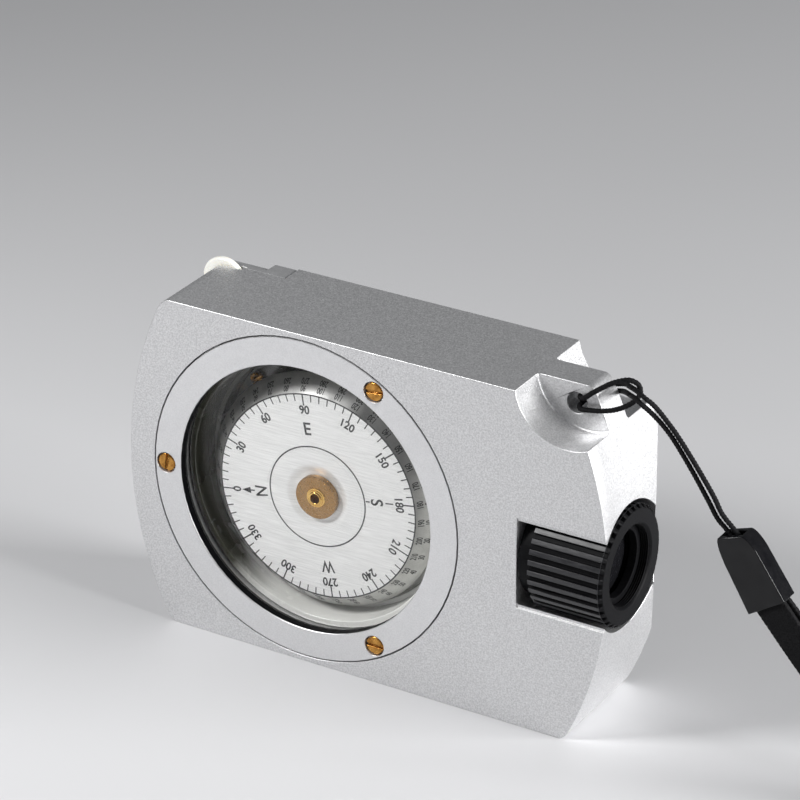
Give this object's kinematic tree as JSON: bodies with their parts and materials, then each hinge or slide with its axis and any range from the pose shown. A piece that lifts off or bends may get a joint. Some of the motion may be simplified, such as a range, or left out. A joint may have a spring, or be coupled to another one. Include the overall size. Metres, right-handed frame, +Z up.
{
  "type": "sighting compass",
  "caption": "Hand-held sighting compass: aluminium block with a dial capsule, knurled eyepiece, corner wheel, and a lanyard with a clip and a wrist strap.",
  "frame": {"origin": "under the middle of the compass, on the surface that it stands on, leaving out the lanyard", "axes": "+Z up, +X along the body towards the eyepiece, the dial faces -Y"},
  "size_m": [0.1889, 0.0282, 0.0546],
  "materials": {
    "blasted_aluminium": "fine bead-blasted, clear anodised",
    "satin_aluminium": "satin turned, clear anodised",
    "brass": "turned, slightly toned",
    "rubber": "matt",
    "clear_acrylic": "clear, polished",
    "card_silver": "silver with fine brushing and black print",
    "jewel": "polished",
    "magnet": "sintered, matt",
    "steel": "ground",
    "black_anodised": "black anodised, semi-gloss",
    "lens_glass": "polished",
    "ivory_plastic": "smooth, semi-matt",
    "black_cord": "fine braid",
    "black_gloss_plastic": "glossy moulding",
    "black_webbing": "woven"
  },
  "bodies": {
    "root": {"body": "blasted_aluminium", "front_bezel_ring": "satin_aluminium", "bezel_screw_1": "brass", "bezel_screw_2": "brass", "bezel_screw_3": "brass", "window_gasket": "rubber", "capsule_window": "clear_acrylic", "capsule_cup": "clear_acrylic", "fill_plug": "brass", "pivot_post": "brass", "pivot_pin": "steel", "lens_barrel": "black_anodised", "graticule": "lens_glass", "corner_wheel_axle": "steel", "corner_cover": "satin_aluminium", "corner_cover_screw": "brass", "lanyard_cord": "black_cord", "lanyard_connector": "black_gloss_plastic", "wrist_strap": "black_webbing"},
    "card": {"compass_card": "card_silver", "card_hub": "brass", "jewel_bearing": "jewel", "ring_magnet": "magnet"},
    "lens_carrier": {"eye_lens": "lens_glass"},
    "focus_grip": {"focus_ring": "black_anodised", "lens_retainer": "black_anodised"},
    "wheel": {"corner_wheel": "ivory_plastic"}
  },
  "joints": [
    {"name": "card_spin", "type": "hinge", "parent": "root", "child": "card", "pos_m": [-0.0096, -0.00458, 0.025], "axis": [0.0361, -0.9993, 0.0093], "continuous": true},
    {"name": "focus_travel", "type": "slide", "parent": "root", "child": "lens_carrier", "axis": [1, 0, 0], "range_m": [-0.0015, 0.0015]},
    {"name": "focus_turn", "type": "hinge", "parent": "lens_carrier", "child": "focus_grip", "pos_m": [0.033, -0.00112, 0.02575], "axis": [1, 0, 0], "range_deg": [-180, 180]},
    {"name": "corner_wheel_spin", "type": "hinge", "parent": "root", "child": "wheel", "pos_m": [-0.0317, 0.00628, 0.04945], "axis": [0, -1, 0], "continuous": true}
  ],
  "couplings": [
    {"joint": "focus_travel", "follows": "focus_turn", "m_per_rad": 0.000477}
  ]
}
